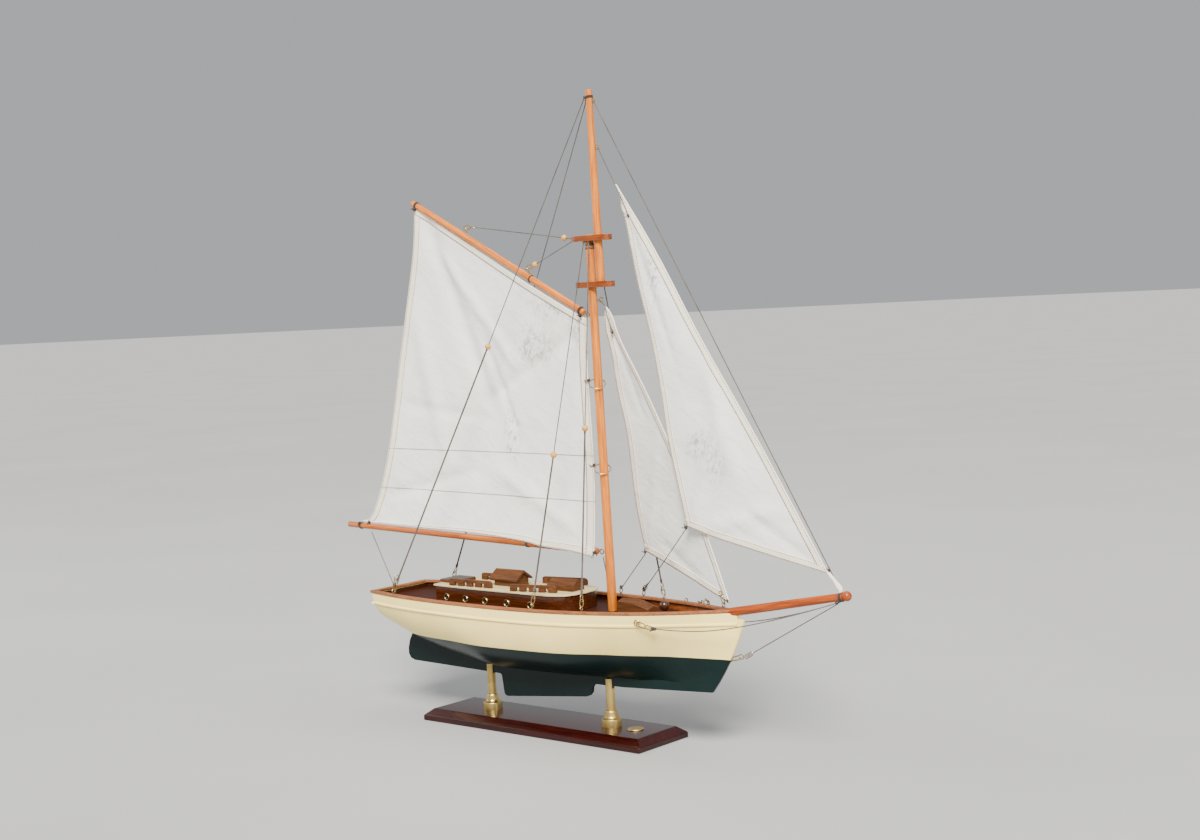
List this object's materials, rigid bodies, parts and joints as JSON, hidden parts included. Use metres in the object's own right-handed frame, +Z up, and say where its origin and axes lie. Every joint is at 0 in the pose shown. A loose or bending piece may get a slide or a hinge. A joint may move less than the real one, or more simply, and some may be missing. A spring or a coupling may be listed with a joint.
{
  "type": "model sailing ship",
  "caption": "Decorative gaff-rigged cutter with cotton mainsail, jib and staysail, threaded rigging and a deckhouse, lifting off two slotted brass pillars on a bevelled wooden plinth.",
  "frame": {"origin": "middle of the plinth's underside", "axes": "+X towards the bow, +Y to port, +Z up"},
  "size_m": [0.5936, 0.1114, 0.5755],
  "materials": {
    "plinth_mahogany": "high gloss varnish",
    "brass": "polished",
    "hull_paint": "satin paint over wood, cream above and dark green below the waterline",
    "keel_paint": "gloss paint over wood, cream at the stem head",
    "deck_mahogany": "gloss varnish",
    "rail_wood": "oiled",
    "cabin_mahogany": "gloss varnish",
    "roof_paint": "satin paint over wood",
    "fitting_wood": "satin varnish",
    "bollard_wood": "gloss varnish",
    "spar_wood": "satin varnish",
    "sail_cotton": "woven cotton",
    "rigging_thread": "twisted thread",
    "bead_wood": "satin varnish"
  },
  "bodies": {
    "stand": {"base_plinth": "plinth_mahogany", "base_plaque": "brass", "aft_pillar_foot": "brass", "aft_pillar_tube": "brass", "fore_pillar_foot": "brass", "fore_pillar_tube": "brass"},
    "ship": {"hull": "hull_paint", "keel_board": "keel_paint", "deck": "deck_mahogany", "cap_rail": "rail_wood", "cabin_trunk": "cabin_mahogany", "cabin_roof": "roof_paint", "port_aft_windows": "fitting_wood", "port_fore_windows": "fitting_wood", "starboard_aft_windows": "fitting_wood", "starboard_fore_windows": "fitting_wood", "aft_companion": "fitting_wood", "fore_companion": "fitting_wood", "sliding_hatch": "fitting_wood", "foredeck_hatch": "fitting_wood", "bollard": "bollard_wood", "lower_mast": "spar_wood", "topmast": "spar_wood", "mast_cap": "spar_wood", "trestle_plank": "spar_wood", "bowsprit": "spar_wood", "starboard_fore_shroud": "rigging_thread", "starboard_aft_shroud": "rigging_thread", "port_fore_shroud": "rigging_thread", "port_aft_shroud": "rigging_thread", "starboard_backstay": "rigging_thread", "port_backstay": "rigging_thread", "forestay": "rigging_thread", "bobstay": "rigging_thread", "jib_halyard": "rigging_thread", "staysail_halyard": "rigging_thread", "peak_halyard_outer": "rigging_thread", "peak_halyard_inner": "rigging_thread", "mainsheet": "rigging_thread", "jib_sheet": "rigging_thread", "staysail_sheet": "rigging_thread", "main_tack_line": "rigging_thread", "port_bowsprit_shroud": "rigging_thread", "starboard_bowsprit_shroud": "rigging_thread", "starboard_fore_shroud_bead": "bead_wood", "starboard_aft_shroud_bead": "bead_wood", "port_fore_shroud_bead": "bead_wood", "port_aft_shroud_bead": "bead_wood", "starboard_backstay_bead": "bead_wood", "port_backstay_bead": "bead_wood"},
    "main_rig": {"boom": "spar_wood", "gaff": "spar_wood", "mainsail": "sail_cotton", "gooseneck_eye": "brass", "throat_eye": "brass", "upper_mast_hoop": "brass", "lower_mast_hoop": "brass"},
    "jib": {"jib": "sail_cotton"},
    "staysail": {"staysail": "sail_cotton"}
  },
  "joints": [
    {"name": "lift_off", "type": "slide", "parent": "stand", "child": "ship", "axis": [0, 0, 1], "range_m": [0, 0.009]},
    {"name": "main_swing", "type": "hinge", "parent": "ship", "child": "main_rig", "pos_m": [0.0714, 0, 0.168], "axis": [-0.0142, 0, 0.9999], "range_deg": [-7, 7], "deforming": ["mainsheet", "peak_halyard_outer", "peak_halyard_inner"]},
    {"name": "jib_swing", "type": "hinge", "parent": "ship", "child": "jib", "pos_m": [0.308, -0.0016, 0.1636], "axis": [-0.5244, 0, 0.8515], "range_deg": [0, 5], "deforming": ["jib_sheet", "jib_halyard"]},
    {"name": "staysail_swing", "type": "hinge", "parent": "ship", "child": "staysail", "pos_m": [0.2104, 0, 0.1316], "axis": [-0.4312, 0, 0.9023], "range_deg": [-1, 3], "deforming": ["staysail_sheet", "staysail_halyard"]}
  ]
}
